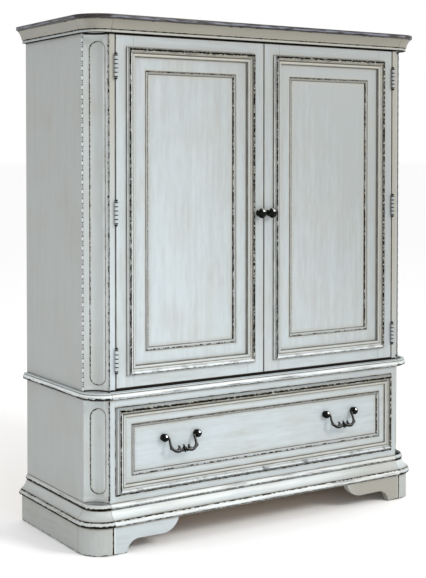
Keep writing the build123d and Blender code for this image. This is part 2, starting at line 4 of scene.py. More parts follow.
import bmesh
import bpy
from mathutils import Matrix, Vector


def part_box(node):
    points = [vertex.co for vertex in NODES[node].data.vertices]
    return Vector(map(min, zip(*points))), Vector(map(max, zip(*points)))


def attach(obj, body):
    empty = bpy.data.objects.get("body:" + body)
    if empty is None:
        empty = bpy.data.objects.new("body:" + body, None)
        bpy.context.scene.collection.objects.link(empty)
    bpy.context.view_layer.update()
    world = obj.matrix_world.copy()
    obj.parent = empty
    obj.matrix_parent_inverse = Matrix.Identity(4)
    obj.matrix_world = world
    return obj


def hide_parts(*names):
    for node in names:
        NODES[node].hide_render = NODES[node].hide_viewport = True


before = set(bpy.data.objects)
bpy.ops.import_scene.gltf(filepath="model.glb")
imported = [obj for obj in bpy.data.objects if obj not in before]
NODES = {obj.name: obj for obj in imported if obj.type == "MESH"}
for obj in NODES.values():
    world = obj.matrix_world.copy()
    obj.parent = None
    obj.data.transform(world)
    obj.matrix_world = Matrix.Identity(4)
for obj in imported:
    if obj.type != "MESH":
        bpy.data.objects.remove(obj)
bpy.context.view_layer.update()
MM = 1000.0

# Linear colours of the paint, from a painted highlight to the dark wood under it; the aged colour also
# stands in for painted shade.
BRIGHT_PAINT = (0.66, 0.69, 0.68)
FRESH_PAINT = (0.408, 0.457, 0.480)
AGED_AND_SHADED_PAINT = (0.240, 0.259, 0.260)
WARM_PAINT = (0.280, 0.267, 0.222)
CREAM = (0.330, 0.310, 0.250)
GLAZE = (0.140, 0.130, 0.104)
UMBER = (0.042, 0.038, 0.031)
CHIP = (0.006, 0.005, 0.004)


# ---------------------------------------------------------------- shader arithmetic

class Field:
    """A number that varies over a surface: a node's output, with arithmetic."""

    def __init__(self, surface, socket):
        self.surface = surface
        self.socket = socket

    def op(self, operation, *others):
        node = self.surface.node("ShaderNodeMath", operation=operation)
        for slot, value in zip(node.inputs, (self, *others)):
            self.surface.put(value, slot)
        return Field(self.surface, node.outputs[0])

    def __add__(self, other):
        return self.op("ADD", other)

    __radd__ = __add__

    def __mul__(self, other):
        return self.op("MULTIPLY", other)

    def __sub__(self, other):
        return self.op("SUBTRACT", other)

    def __rsub__(self, other):
        return self.op("MULTIPLY_ADD", -1.0, other)

    def __abs__(self):
        return self.op("ABSOLUTE")

    def least(self, other):
        return self.op("MINIMUM", other)

    def most(self, other):
        return self.op("MAXIMUM", other)

    def power(self, exponent):
        return self.op("POWER", exponent)

    def ramp(self, start, end):
        """Rises smoothly from 0 at start to 1 at end. Start may be the larger of the two."""
        node = self.surface.node("ShaderNodeMapRange", interpolation_type="SMOOTHSTEP")
        for slot, value in zip(node.inputs, (self, start, end)):
            self.surface.put(value, slot)
        return Field(self.surface, node.outputs[0])


class Surface:
    """A material under construction. Its coordinates x, y and z are millimetres in the row frame."""

    def __init__(self, name, metallic=0.0):
        self.material = bpy.data.materials.new(name)
        self.material.use_nodes = True
        self.tree = self.material.node_tree
        self.shader = self.tree.nodes["Principled BSDF"]
        self.shader.inputs["Metallic"].default_value = metallic
        place = self.node("ShaderNodeVectorMath", operation="SCALE")
        place.inputs["Scale"].default_value = MM
        self.put(self.node("ShaderNodeTexCoord").outputs["Object"], place.inputs[0])
        self.place = place.outputs[0]
        split = self.node("ShaderNodeSeparateXYZ")
        self.put(self.place, split.inputs[0])
        self.x, self.y, self.z = (Field(self, axis) for axis in split.outputs)
        self.relief = None

    def node(self, kind, **settings):
        node = self.tree.nodes.new(kind)
        for name, value in settings.items():
            setattr(node, name, value)
        return node

    def put(self, value, slot):
        """Links a field or a socket to an input, or sets the input to a plain value."""
        if isinstance(value, Field):
            value = value.socket
        if isinstance(value, bpy.types.NodeSocket):
            self.tree.links.new(value, slot)
        elif isinstance(value, tuple) and len(slot.default_value) == 4:
            slot.default_value = (*value, 1.0)
        else:
            slot.default_value = value

    def stretched(self, size):
        """Coordinates divided by one size, or by one for each axis, in millimetres."""
        sizes = size if isinstance(size, tuple) else (size, size, size)
        node = self.node("ShaderNodeVectorMath", operation="MULTIPLY")
        self.put(self.place, node.inputs[0])
        node.inputs[1].default_value = [1.0 / s for s in sizes]
        return node.outputs[0]

    def noise(self, size, seed=0.0, detail=2.0, rough=0.5):
        """Noise with features of about the given size."""
        node = self.node("ShaderNodeTexNoise", noise_dimensions="4D")
        self.put(self.stretched(size), node.inputs["Vector"])
        node.inputs["W"].default_value = seed
        node.inputs["Scale"].default_value = 1.0
        node.inputs["Detail"].default_value = detail
        node.inputs["Roughness"].default_value = rough
        return Field(self, node.outputs[0])

    def specks(self, spacing, radius, share):
        """Small dots, in the given share of the cells of a random lattice."""
        node = self.node("ShaderNodeTexVoronoi")
        self.put(self.stretched(spacing), node.inputs["Vector"])
        node.inputs["Scale"].default_value = 1.0
        split = self.node("ShaderNodeSeparateColor")
        self.put(node.outputs["Color"], split.inputs[0])
        chosen = Field(self, split.outputs[0]).ramp(1.0 - share, 1.0 - share + 0.01)
        size = Field(self, split.outputs[1]) * (radius / spacing) + 0.3 * radius / spacing
        return chosen * Field(self, node.outputs["Distance"]).ramp(size, size * 0.5)

    def mix(self, below, above, amount):
        """One colour laid over another."""
        node = self.node("ShaderNodeMix", data_type="RGBA")
        self.put(amount, node.inputs["Factor"])
        self.put(below, node.inputs["A"])
        self.put(above, node.inputs["B"])
        return node.outputs["Result"]

    def lift(self, amount):
        """Adds to the height that the bump map is made from, in millimetres."""
        self.relief = amount if self.relief is None else self.relief + amount

    def done(self, colour, roughness):
        """Connects the colour, the roughness and the bump, and returns the material."""
        self.put(colour, self.shader.inputs["Base Color"])
        self.put(roughness, self.shader.inputs["Roughness"])
        if self.relief is not None:
            bump = self.node("ShaderNodeBump")
            bump.inputs["Distance"].default_value = 1.0 / MM
            self.put(self.relief, bump.inputs["Height"])
            self.put(bump.outputs[0], self.shader.inputs["Normal"])
        return self.material


# ---------------------------------------------------------------- places, from the CAD boxes

def span(node, axis):
    """(low, high) of a CAD node along X (0), Y (1) or Z (2), in millimetres."""
    low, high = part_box(node)
    return low[axis] * MM, high[axis] * MM


def rectangle(node, inset=0.0):
    """The X and Z spans of a CAD node, drawn in by an inset."""
    return tuple((low + inset, high - inset) for low, high in (span(node, 0), span(node, 2)))


FRONT = span("face_frame_stiles", 1)[0]
FRONT_X = span("face_frame_rails", 0)
DOOR_FRONT = span("left_door_stiles", 1)[0]
BODY_HALF = -span("side_panel_left", 0)[0]
ARC_X = -span("corner_post_left", 0)[1]           # where the curved corners meet the front
ARC_Y = span("corner_post_left", 1)[1]            # and where they meet the sides
CORNICE_Z = span("cornice_front", 2)
WAIST_Z = span("waist_moulding_front", 2)
BASE_Z = span("base_moulding_front", 2)
# A band of painted shadow under the cornice, over the gap above the doors.
SHADOW_UNDER_CORNICE = (CORNICE_Z[0] - 3.4, CORNICE_Z[0] + 2.0)
RING_W = 27.0             # width of the raised mouldings on doors and drawer
LINING_W = 10.0           # width of the small mouldings round the sunk fields
STILE_W = 57.0            # width of a door's stiles
SUNK_PANEL_W = 47.0       # width of the sunk panels on the corner posts
SUNK_PANELS = ((165.0, 411.0), (478.0, 1456.0))   # and their heights
HINGE_HEIGHTS = (550.0, 970.0, 1385.0)
KNUCKLES = 5              # on each hinge
KNUCKLE_H = 12.0


# ---------------------------------------------------------------- paint

def along(grain, length, width):
    """The size of a streak that runs along one axis, for noise."""
    return tuple(length if axis == grain else width for axis in "xyz")


class Paint(Surface):
    """Antique-white paint over dark wood: brush marks, a warm glaze in the hollows, and chips.

    Each layer is a field of amounts: shade ages the paint and also holds a painted shade towards the top
    and the right, glazes warm and then darken it, brights are painted highlights, creams show undercoat,
    soft_lines are thin dark glaze and chips go down to dark wood, along with solid dark lines and painted
    shadows.
    """

    def __init__(self, name, grain, seed):
        super().__init__(name)
        self.seed = seed
        streaks = self.noise(along(grain, 420.0, 16.0), self.next_seed(), detail=3.0)
        fine = self.noise(along(grain, 105.0, 4.0), self.next_seed())
        clouds = self.noise(150.0, self.next_seed(), detail=3.0)
        mottle = self.noise(along(grain, 60.0, 11.2), self.next_seed(), detail=4.0, rough=0.6)
        # Painted shade: the paint grows darker towards the top and the right, as the light falls off.
        falloff_shade = (self.z + self.x * 0.9).ramp(100.0, 1650.0)
        patches = (streaks * 0.3 + clouds * 0.7).ramp(0.44, 0.68)
        self.glazes = patches * 0.15 + (mottle - 0.5).most(0.0) * 0.35
        self.shade = streaks.ramp(0.3, 0.7) * 0.15 + mottle.ramp(0.3, 0.7) * 0.15 + falloff_shade * 0.9
        # The chips layer also takes solid dark lines, some of them painted shadow.
        self.chips = self.specks(34.0, 1.2, 0.08).most(self.specks(95.0, 2.2, 0.09))
        self.brights = None
        self.creams = None
        self.soft_lines = None
        self.bright_patch = 60.0
        self.smudge_patch = 26.0
        self.lift(fine * 0.05)

    def next_seed(self):
        """A new place in the noise, so that no two layers look alike."""
        self.seed += 7.3
        return self.seed

    def layer(self, name, amount):
        """Adds to one of the layers, keeping whichever is the stronger."""
        held = getattr(self, name)
        setattr(self, name, amount if held is None else held.most(amount))

    def glaze(self, distance, reach, strength=0.6, patch=45.0):
        """Leaves a warm glaze that fades out over a reach from where the distance is 0."""
        patches = self.noise(patch, self.next_seed()).ramp(0.25, 0.75) * 0.7 + 0.45
        self.layer("glazes", abs(distance).ramp(reach, 0.0) * patches * strength)

    def bright(self, mask, strength=0.8):
        """Lighter paint where light would catch an edge or a crown: a painted highlight, dulled in patches.
        """
        patches = self.noise(self.bright_patch, self.next_seed(), detail=4.0)
        self.layer("brights", mask * (patches.ramp(0.32, 0.58) * 0.6 + 0.4) * strength)

    def smudge(self, mask, strength=0.5):
        """Grey rubbed-in glaze in loose patches, in places also painted shade."""
        patches = self.noise(self.smudge_patch, self.next_seed(), detail=5.0, rough=0.6)
        self.stain(mask * patches.ramp(0.48, 0.66), strength)

    def cream(self, mask, strength=0.8):
        """Paint worn through to a cream undercoat, in patches."""
        patches = self.noise(24.0, self.next_seed(), detail=3.0).ramp(0.3, 0.65) * 0.6 + 0.4
        self.layer("creams", mask * patches * strength)

    def stain(self, mask, strength=1.0):
        """Dark glaze, thinner than a chip, in places also painted shade."""
        self.layer("soft_lines", mask * strength)

    def seam(self, distance, half_width=0.7, strength=0.8):
        """A fine dark line where two pieces meet, uneven in strength."""
        broken = self.noise(30.0, self.next_seed()).ramp(0.2, 0.6) * 0.5 + 0.5
        line = abs(distance).ramp(half_width + 0.5, half_width * 0.4)
        self.stain(line * broken, strength)

    def black_line(self, mask):
        """A solid dark line, for wide joints filled with old dark paint and for painted shadows in gaps and
        hollows.
        """
        self.layer("chips", mask)

    def ragged(self, distance, half_width, coverage=0.6, length=9.0, strength=1.0, worn=0.3):
        """A line of chips along an edge, wider and narrower, that breaks off where the paint held."""
        wobble = (self.noise(length * 0.5, self.next_seed(), detail=3.0) - 0.5) * half_width * 1.7
        low = 0.60 - 0.36 * coverage
        presence = self.noise(length, self.next_seed(), detail=3.0, rough=0.6).ramp(low, low + 0.2)
        beyond = abs(distance + wobble) - presence * half_width
        self.layer("chips", beyond.ramp(0.5, -0.5) * presence.ramp(0.05, 0.3) * strength)
        self.layer("creams", beyond.ramp(2.0, 0.3) * presence.ramp(0.0, 0.2) * strength * worn)

    def painted(self):
        """The finished material."""
        # Shade mixes in the aged colour: random aging, plus a painted shade that falls off towards the top
        # and the right.
        colour = self.mix(FRESH_PAINT, AGED_AND_SHADED_PAINT, self.shade)
        colour = self.mix(colour, WARM_PAINT, self.glazes.least(0.5) * 1.6)
        # Brights: painted highlights on edges and crowns.
        if self.brights is not None:
            colour = self.mix(colour, BRIGHT_PAINT, self.brights)
        if self.creams is not None:
            colour = self.mix(colour, CREAM, self.creams)
        colour = self.mix(colour, GLAZE, (self.glazes - 0.35).most(0.0) * 1.1)
        if self.soft_lines is not None:
            colour = self.mix(colour, UMBER, self.soft_lines)
        # Chips and solid dark lines, among them painted shadows in gaps and hollows.
        rim = self.chips.ramp(0.02, 0.5)
        colour = self.mix(colour, UMBER, rim)
        colour = self.mix(colour, CHIP, self.chips.ramp(0.3, 0.9))
        self.lift(rim * -0.25)
        self.put(rim * -0.4 + 0.45, self.shader.inputs["Specular IOR Level"])
        return self.done(colour, self.shade * 0.12 + 0.38 + rim * 0.3)


def between(field, low, high, soft=0.8):
    """1 where a field lies between two values."""
    return field.ramp(low - soft, low + soft) * field.ramp(high + soft, high - soft)


def inward(surface, rect):
    """How far a point is inside a rectangle's nearest edge; negative outside it."""
    (x0, x1), (z0, z1) = rect
    across = (x1 - x0) / 2 - abs(surface.x - (x0 + x1) / 2)
    upward = (z1 - z0) / 2 - abs(surface.z - (z0 + z1) / 2)
    return across.least(upward)


def members(surface, rect):
    """Four masks, each 1 on one length of a mitred frame: top, bottom, left and right."""
    (x0, x1), (z0, z1) = rect
    right_of_middle = surface.x - (x0 + x1) / 2
    across = (x1 - x0) / 2 - abs(right_of_middle)
    above_middle = surface.z - (z0 + z1) / 2
    top = (across - (z1 - surface.z)).least(above_middle).ramp(-1.0, 1.0)
    bottom = (across - (surface.z - z0)).least(above_middle * -1.0).ramp(-1.0, 1.0)
    sides = (1.0 - top - bottom).most(0.0)
    right = right_of_middle.ramp(-1.0, 1.0)
    return top, bottom, sides * (1.0 - right), sides * right


def ring_paint(node, grain, wear, bottom_chips, top_line):
    """The raised moulding round a door or a drawer front.

    From its outer edge inwards it has a steep wall to 3 mm, a rolled crest to 11, a cove to 18 and a
    fillet. Wear is the half width of the chips on the side lengths, bottom_chips is how much of the lower
    length is chipped, and top_line is where the black line on the upper length ends.
    """
    paint = Paint(f"paint_{node}", grain, len(node) + span(node, 0)[0])
    rect = rectangle(node)
    d = inward(paint, rect)
    top, bottom, left, right = members(paint, rect)
    height = span(node, 1)[1] - paint.y
    crest = height.ramp(5.5, 9.0)
    # Painted highlights: the lower length, which faces up, and two strips on the left length.
    lit_bottom = between(d, 6.0, 16.0) * bottom * (1.2 - bottom_chips)
    paint.bright(between(d, 0.6, 3.4, 0.5) * left + lit_bottom)
    paint.cream(between(d, 2.0, 17.0, 1.5) * (top + right * 0.7), 0.9)
    paint.bright(between(d, 10.0, 16.5, 0.8) * left, 1.5 - bottom_chips)
    paint.stain(between(d, 2.0, 9.5, 1.0) * left, 0.55)
    paint.cream(between(d, 18.5, RING_W, 1.5) * (top + right * 0.5 + left * 0.4), 0.75)
    paint.glaze(d - 17.0, 5.0, 0.8 - left * 0.6)
    paint.glaze(d - RING_W, 4.0, 0.6)
    paint.smudge(between(d, 3.0, 15.0, 2.0) * top, 0.75)
    paint.stain(between(d, 14.8, 18.2, 1.0) * top, 0.95)
    paint.stain(between(d, 9.5, 12.5) * right, 0.7)
    paint.seam(d + (height - 2.5).most(0.0), 1.0, 0.95)
    paint.seam(d - 12.6, 0.5, 0.5)
    paint.seam(d - 18.2, 0.9, 0.9)
    paint.seam(d - RING_W + 0.6, 0.8, 0.85)
    paint.black_line((d - top_line).ramp(0.8, -0.6) * top * crest)
    paint.ragged(d - 6.5, 3.0, 0.8, 8.0, top, 0.7)
    paint.ragged(d - 3.6, 1.8, bottom_chips, 8.0, bottom, 0.3)
    paint.smudge(between(d, 2.0, 15.0, 3.0) * (bottom + right * 0.6 + left * 0.4), bottom_chips)
    paint.stain(between(d, 15.5, 19.0, 1.0) * bottom, bottom_chips * 0.8)
    paint.cream(between(d, 19.0, RING_W, 1.5) * bottom, bottom_chips * 0.7)
    paint.ragged(d - 7.4, wear * 0.8, 0.75, 9.0, left, 0.7)
    paint.ragged(d - 2.8, wear, 1.0, 9.0, right * crest, 0.7)
    paint.ragged(d - 8.5, 2.4, 0.6, 7.0, right, 0.7)
    return paint.painted()


def lining_paint(node, grain):
    """The small moulding round a sunk field."""
    paint = Paint(f"paint_{node}", grain, span(node, 0)[0] - 40.0)
    rect = rectangle(node)
    d = inward(paint, rect)
    top, bottom, left, right = members(paint, rect)
    paint.cream((d - 1.0).ramp(-1.0, 1.0) * (top * 0.8 + left * 0.3 + right * 0.2), 0.6)
    paint.glaze(d - 6.0, 5.0, 0.25)
    # The upper length is darker with painted shade, as it faces down, over a grey-brown glaze.
    paint.stain(between(d, 0.8, 3.6, 1.0) * top, 0.85)
    paint.stain(between(d, 1.0, 9.0, 1.0), 0.22 + top * 0.25)
    paint.seam(d - 0.6, 1.2, 1.0)
    paint.seam(d - LINING_W + 0.5, 1.1, 0.9)
    paint.ragged(d - LINING_W + 1.4, 1.9, 0.80, 9.0, left)
    paint.ragged(d - 2.5, 1.6, 0.45, 8.0, top + bottom)
    paint.ragged(d - 8.2, 1.6, 0.65, 12.0, right)
    return paint.painted()


def flat_paint(name, grain, seed, ring, fields=(), door=None):
    """A flat board of a door or a drawer, with glaze beside its mouldings.

    Ring is the moulding on it, fields are (rectangle, reach of the glaze) pairs inside it, and door is the
    outline of the door that the board is a part of, for dark edges, a painted shadow along its top and the
    joints beside the stiles.
    """
    paint = Paint(name, grain, seed)
    away = inward(paint, ring) * -1.0
    paint.glaze(away, 9.0, 0.5)
    paint.seam(away - 0.2, 1.0, 0.8)
    for rect, reach in fields:
        d = inward(paint, rect)
        paint.glaze(d, reach, 0.4)
        paint.seam(d, 0.9, 0.75)
    if door is not None:
        (x0, x1), (_, z1) = door
        # The lines stay on the face: behind it, the distance is pushed past their reach.
        off_face = (paint.y - DOOR_FRONT).ramp(1.5, 4.0)
        d = inward(paint, door) + off_face * 20.0
        paint.glaze(d, 4.0, 0.5)
        paint.seam(d, 1.3, 0.9)
        # Painted shadow along the door's top edge, under the cornice.
        paint.black_line((z1 - paint.z).ramp(1.8, 0.8) * (1.0 - off_face))
        for joint in (x0 + STILE_W, x1 - STILE_W):
            paint.seam(paint.x - joint, 0.5, 0.55)
    return paint.painted()


def door_paints(side):
    """Materials for the boards and mouldings of one door."""
    ring, lining = f"{side}_door_moulding", f"{side}_door_inner_moulding"
    door = rectangle(f"{side}_door_stiles")
    inside = ((rectangle(ring, RING_W), 12.0), (rectangle(lining, LINING_W), 16.0))
    seed = 10.0 if side == "left" else 60.0
    return {
        f"{side}_door_stiles": flat_paint(f"paint_{side}_stiles", "z", seed, rectangle(ring), door=door),
        f"{side}_door_rails": flat_paint(f"paint_{side}_rails", "x", seed + 9, rectangle(ring), door=door),
        f"{side}_door_panel": flat_paint(f"paint_{side}_panel", "z", seed + 18, rectangle(lining), inside),
        ring: ring_paint(ring, "z", 3.5, 0.5, 3.0),
        lining: lining_paint(lining, "z"),
    }


def drawer_paints():
    """Materials for the drawer's front and its mouldings."""
    ring, lining = "drawer_moulding", "drawer_inner_moulding"
    inside = ((rectangle(ring, RING_W), 12.0), (rectangle(lining, LINING_W), 14.0))
    return {
        "drawer_front": flat_paint("paint_drawer_front", "x", 110.0, rectangle(lining), inside),
        ring: ring_paint(ring, "x", 2.8, 0.8, 2.0),
        lining: lining_paint(lining, "x"),
    }


def frame_paint(name, grain, seed):
    """The face frame: dark lines round its openings, painted shadow under the doors and the cornice, and
    taupe glaze with painted shade beside the posts.
    """
    paint = Paint(name, grain, seed)
    doors = (FRONT_X, (span("cupboard_floor", 2)[1], CORNICE_Z[0]))
    drawer = rectangle("drawer_front", -3.0)
    # Painted shade with a warm glaze beside each post, stronger higher up and to the right.
    shade_beside_post = (abs(paint.x) - ARC_X + 17.0).ramp(-1.0, 3.0)
    paint.layer("glazes", shade_beside_post * (paint.z + paint.x * 0.5).ramp(350.0, 1300.0) * 0.58)
    paint.seam(inward(paint, doors), 1.3, 0.9)
    paint.ragged(inward(paint, drawer), 1.2, 0.4, 18.0)
    paint.glaze(inward(paint, drawer), 8.0, 0.45)
    # Painted shadows: black bands under the doors and under the cornice.
    paint.black_line(between(paint.z, WAIST_Z[1] + 2.0, doors[1][0], 0.5))
    paint.black_line(between(paint.z, *SHADOW_UNDER_CORNICE, 0.5))
    for edge in (WAIST_Z[0], BASE_Z[1]):
        paint.glaze(paint.z - edge, 9.0, 0.55)
        paint.seam(paint.z - edge, 1.4, 0.9)
    return paint.painted()


def cornice_paint(node):
    """A taupe glaze all over the cove, deepened with painted shade as it faces down; a dark line on the
    nosing's upper edge, and a painted shadow line along the lower edge.
    """
    low, high = CORNICE_Z
    paint = Paint(f"paint_{node}", "x" if node.endswith("front") else "y", span(node, 0)[0])
    on_front = (paint.y - ARC_Y).ramp(-20.0, -52.0)
    cove = (paint.z - low).ramp(7.0, 12.0)
    taupe = paint.noise((160.0, 160.0, 30.0), paint.next_seed(), detail=3.0).ramp(0.25, 0.75)
    # The cove's taupe is partly glaze and partly painted shade.
    paint.layer("glazes", cove * 0.52 + on_front * 0.36 + taupe * cove * 0.12)
    paint.glaze(paint.z - (low + 11.0), 6.0, 0.75)
    paint.glaze(paint.z - high, 9.0, 0.7)
    paint.seam(paint.z - (low + 9.3), 1.0, 0.9)
    paint.seam(paint.z - high, 2.2, 0.95)
    # Painted shadow: a black line along the lower edge, over the gap below the cornice.
    paint.black_line((paint.z - low).ramp(1.6, 0.4))
    paint.ragged(paint.z - (low + 9.0), 1.4, 0.55, 10.0)
    paint.ragged(paint.z - (high - 1.5), 1.0, 0.3, 20.0)
    corner_seams(paint)
    return paint.painted()


def corner_seams(paint):
    """The joints where the curved corner pieces meet the straight lengths."""
    on_front = (paint.y - ARC_Y).ramp(0.0, -4.0)
    on_side = (abs(paint.x) - ARC_X).ramp(0.0, 4.0)
    paint.stain(abs(abs(paint.x) - ARC_X).ramp(1.2, 0.4) * on_front, 0.7)
    paint.stain(abs(paint.y - ARC_Y).ramp(1.2, 0.4) * on_side, 0.7)


def corner_length(paint):
    """1 on the curved corners and the sides, 0 on the straight front length."""
    return (abs(paint.x) - ARC_X).ramp(-6.0, 4.0)


# Sizes of the patches on the waist and base mouldings, drawn out along them.
ALONG_MOULDING = (170.0, 170.0, 14.0)
STREAKED = (95.0, 95.0, 6.0)


def waist_paint(node):
    """A bead with a painted highlight on its upper half and painted shade with wear on its lower half,
    worst on the corners, and a dark line under the fillet.

    Places are heights above the moulding's lower edge.
    """
    low = WAIST_Z[0]
    paint = Paint(f"paint_{node}", "x" if node.endswith("front") else "y", span(node, 0)[0] + 3.0)
    corner = corner_length(paint)
    paint.shade = paint.shade * 0.45
    # Painted shade: the front grows darker and warmer towards the right.
    paint.glazes = paint.glazes + paint.x.ramp(50.0, 500.0) * (1.0 - corner) * 0.16
    paint.bright_patch = ALONG_MOULDING
    paint.smudge_patch = STREAKED
    paint.glaze(paint.z - (low + 18.3), 2.5, 0.8)
    paint.seam(paint.z - (low + 18.2), 0.9, 0.8)
    paint.glaze(paint.z - low, 4.0, 0.8)
    paint.seam(paint.z - (low + 0.5), 1.2, 0.8)
    # Painted highlight on the bead's upper half; the smudge below is partly painted shade on its lower
    # half.
    paint.bright(between(paint.z, low + 9.0, low + 17.0, 1.5), 0.75)
    paint.smudge(between(paint.z, low + 2.0, low + 13.0, 3.0), 0.7)
    paint.ragged(paint.z - (low + 5.5), 3.8, 0.72, 8.0, corner)
    paint.ragged(paint.z - (low + 7.0), 2.2, 0.22, 4.0, (1.0 - corner) * 0.5)
    paint.ragged(paint.z - (low + 2.6), 1.2, 0.5, 10.0)
    corner_seams(paint)
    return paint.painted()


def base_paint(node):
    """Chips along both beads, worst on the corners, a cove between them lightened by painted highlight, and
    painted shade towards the right of the front.
    """
    low, high = BASE_Z
    lower_groove, upper_groove = low + 19.5, high - 17.0
    paint = Paint(f"paint_{node}", "x" if node.endswith("front") else "y", span(node, 0)[0] + 5.0)
    corner = corner_length(paint)
    front = 1.0 - corner
    # Painted shade: the front grows darker and warmer towards the right.
    on_right = paint.x.ramp(50.0, 500.0) * front
    left_corner = corner * paint.x.ramp(10.0, -10.0)
    paint.shade = paint.shade * 0.4 + left_corner * 0.1 + on_right * 0.2 + 0.08
    paint.glazes = paint.glazes + left_corner * 0.18 + on_right * 0.26 + 0.04
    paint.bright_patch = ALONG_MOULDING
    paint.smudge_patch = STREAKED
    # Painted highlights on the beads and on the upward-facing cove.
    paint.bright(between(paint.z, low + 8.0, low + 19.0, 1.5) * (front * 0.6 + 0.25))
    paint.bright(between(paint.z, low + 24.0, high - 19.0, 3.0) * (0.55 - (on_right + left_corner) * 0.4))
    paint.bright(between(paint.z, high - 10.0, high - 2.0, 1.5) * (front * 0.6 + 0.3))
    paint.glaze(paint.z - (lower_groove + 1.5), 3.0, 0.7)
    paint.seam(paint.z - lower_groove, 1.3, 0.95)
    paint.ragged(paint.z - (low + 5.5), 4.4, 0.90, 8.0, corner)
    paint.ragged(paint.z - (low + 4.5), 2.0, 0.55, 8.0, front)
    paint.stain(between(paint.z, low, low + 6.0, 2.0), 0.45)
    paint.smudge(between(paint.z, low + 2.0, low + 19.0, 3.0), 0.55)
    paint.smudge(between(paint.z, upper_groove, high, 3.0), 0.55)
    paint.ragged(paint.z - (lower_groove - 1.0), 1.3, 0.5, 10.0)
    paint.glaze(paint.z - upper_groove, 3.0, 0.75)
    paint.seam(paint.z - upper_groove, 1.2, 0.9)
    paint.ragged(paint.z - (upper_groove + 4.0), 3.6, 0.85, 8.0, corner)
    paint.ragged(paint.z - (upper_groove + 4.0), 1.6, 0.45, 7.0, front)
    paint.seam(paint.z - high, 1.2, 0.8)
    corner_seams(paint)
    return paint.painted()


def post_paint(side):
    """A corner post: dark outlines and glaze round its two sunk panels, painted highlights, and painted
    shadow lines above the waist and under the cornice.
    """
    sign = -1 if side == "left" else 1
    paint = Paint(f"paint_post_{side}", "z", 200.0 + sign)
    paint.shade = paint.shade * 0.40
    paint.glazes = paint.glazes + 0.20
    across = ((paint.x - sign * ARC_X) * -sign - (paint.y - ARC_Y)) * math.sqrt(0.5)
    for low, high in SUNK_PANELS:
        past_end = (abs(paint.z - (low + high) / 2) - (high - low - SUNK_PANEL_W) / 2).most(0.0)
        d = (across * across + past_end * past_end).power(0.5) - SUNK_PANEL_W / 2
        paint.glaze(d + 3.0, 6.0, 0.45)
        paint.seam(d + 0.3, 1.5, 0.85)
        paint.ragged(d, 1.0, 0.35, 10.0)
        paint.ragged(d + 1.0, 1.6, 0.5, 7.0, across.ramp(0.0, 6.0 * sign))
    for edge in (WAIST_Z[0], WAIST_Z[1], BASE_Z[1]):
        paint.glaze(paint.z - edge, 4.0, 0.4)
        paint.seam(paint.z - edge, 1.2, 0.9)
        # Painted highlight just above each moulding.
        paint.bright(between(paint.z, edge + 4.0, edge + 16.0, 5.0), 0.3)
    # Painted light under the cornice, lifting the shade that the cornice casts.
    paint.bright(paint.z.ramp(SUNK_PANELS[1][1] - 5.0, CORNICE_Z[0]), 0.55)
    # Painted shadows: black bands above the waist moulding and under the cornice.
    paint.black_line(between(paint.z, WAIST_Z[1] + 1.0, WAIST_Z[1] + 4.0, 0.5))
    paint.black_line(between(paint.z, *SHADOW_UNDER_CORNICE, 0.5))
    paint.seam(abs(paint.x) - ARC_X, 0.5, 0.5)
    # Painted highlight on the strip beside the front.
    paint.bright(between(abs(paint.x) - ARC_X, 1.0, 7.0, 1.0), 0.35)
    paint.ragged(abs(paint.x) - ARC_X, 1.1, 0.35, 8.0)
    return paint.painted()


def side_paint(side):
    """A side panel, darker where the mouldings and the bead strip meet it."""
    paint = Paint(f"paint_side_{side}", "z", 230.0 + len(side))
    paint.shade = paint.shade * 0.25 + 0.38
    paint.glazes = paint.glazes + 0.20
    for edge in (WAIST_Z[0], WAIST_Z[1], BASE_Z[1], CORNICE_Z[0]):
        paint.glaze(paint.z - edge, 10.0, 0.6)
        paint.seam(paint.z - edge, 1.4, 0.9)
    paint.glaze(paint.y - ARC_Y, 8.0, 0.35)
    return paint.painted()


def plinth_paint(node, grain, warmth):
    """The plinth: worn lower edges, a dark seam beside the corner blocks, warmer at the front right."""
    paint = Paint(f"paint_{node}", grain, 260.0 + len(node))
    low, high = span(node, 2)
    beside_block = abs(paint.x) - ARC_X
    on_front = (paint.y - ARC_Y).ramp(0.0, -4.0)
    paint.glaze(paint.z - high, 8.0, 0.6)
    paint.seam(paint.z - high, 1.6, 0.9)
    paint.ragged(paint.z - low, 1.6, 0.45, 14.0)
    paint.glaze(beside_block, 7.0, 0.5)
    paint.black_line(between(beside_block, -2.4, 0.6, 0.5) * on_front)
    # Painted highlight on the edge beside each corner block.
    paint.bright(between(beside_block, -6.0, -2.4, 0.6) * on_front, 0.6)
    paint.ragged(beside_block - 1.0, 1.4, 0.45, 9.0, on_front)
    paint.seam(paint.y - ARC_Y, 1.0, 0.7)
    on_side = (paint.y - ARC_Y).ramp(-10.0, 6.0)
    on_right = paint.x.ramp(220.0, 380.0) * (paint.x - ARC_X).ramp(4.0, -4.0)
    paint.layer("glazes", on_right * 0.52)
    paint.glazes = paint.glazes + on_side * 0.2 + warmth
    paint.shade = paint.shade * 0.6 + on_side * 0.35 + on_right * 0.3 + warmth
    return paint.painted()


def bead_paint():
    """The beads of the strips: crowns lightened by painted highlight, hollows between them painted black as
    shade.
    """
    paint = Paint("paint_beads", "z", 300.0)
    out = abs(paint.x) - BODY_HALF
    aside = paint.y - ARC_Y
    from_axis = (out * out + aside * aside).power(0.5)
    paint.shade = paint.shade * 0.3
    paint.layer("glazes", out.ramp(2.0, 0.6) * 0.7)
    paint.stain(out.ramp(0.9, 0.3), 0.7)
    # Painted highlight on the crowns, painted shade in the hollows.
    paint.bright(from_axis.ramp(3.1, 3.8), 0.45)
    paint.black_line(from_axis.ramp(3.3, 2.7))
    return paint.painted()


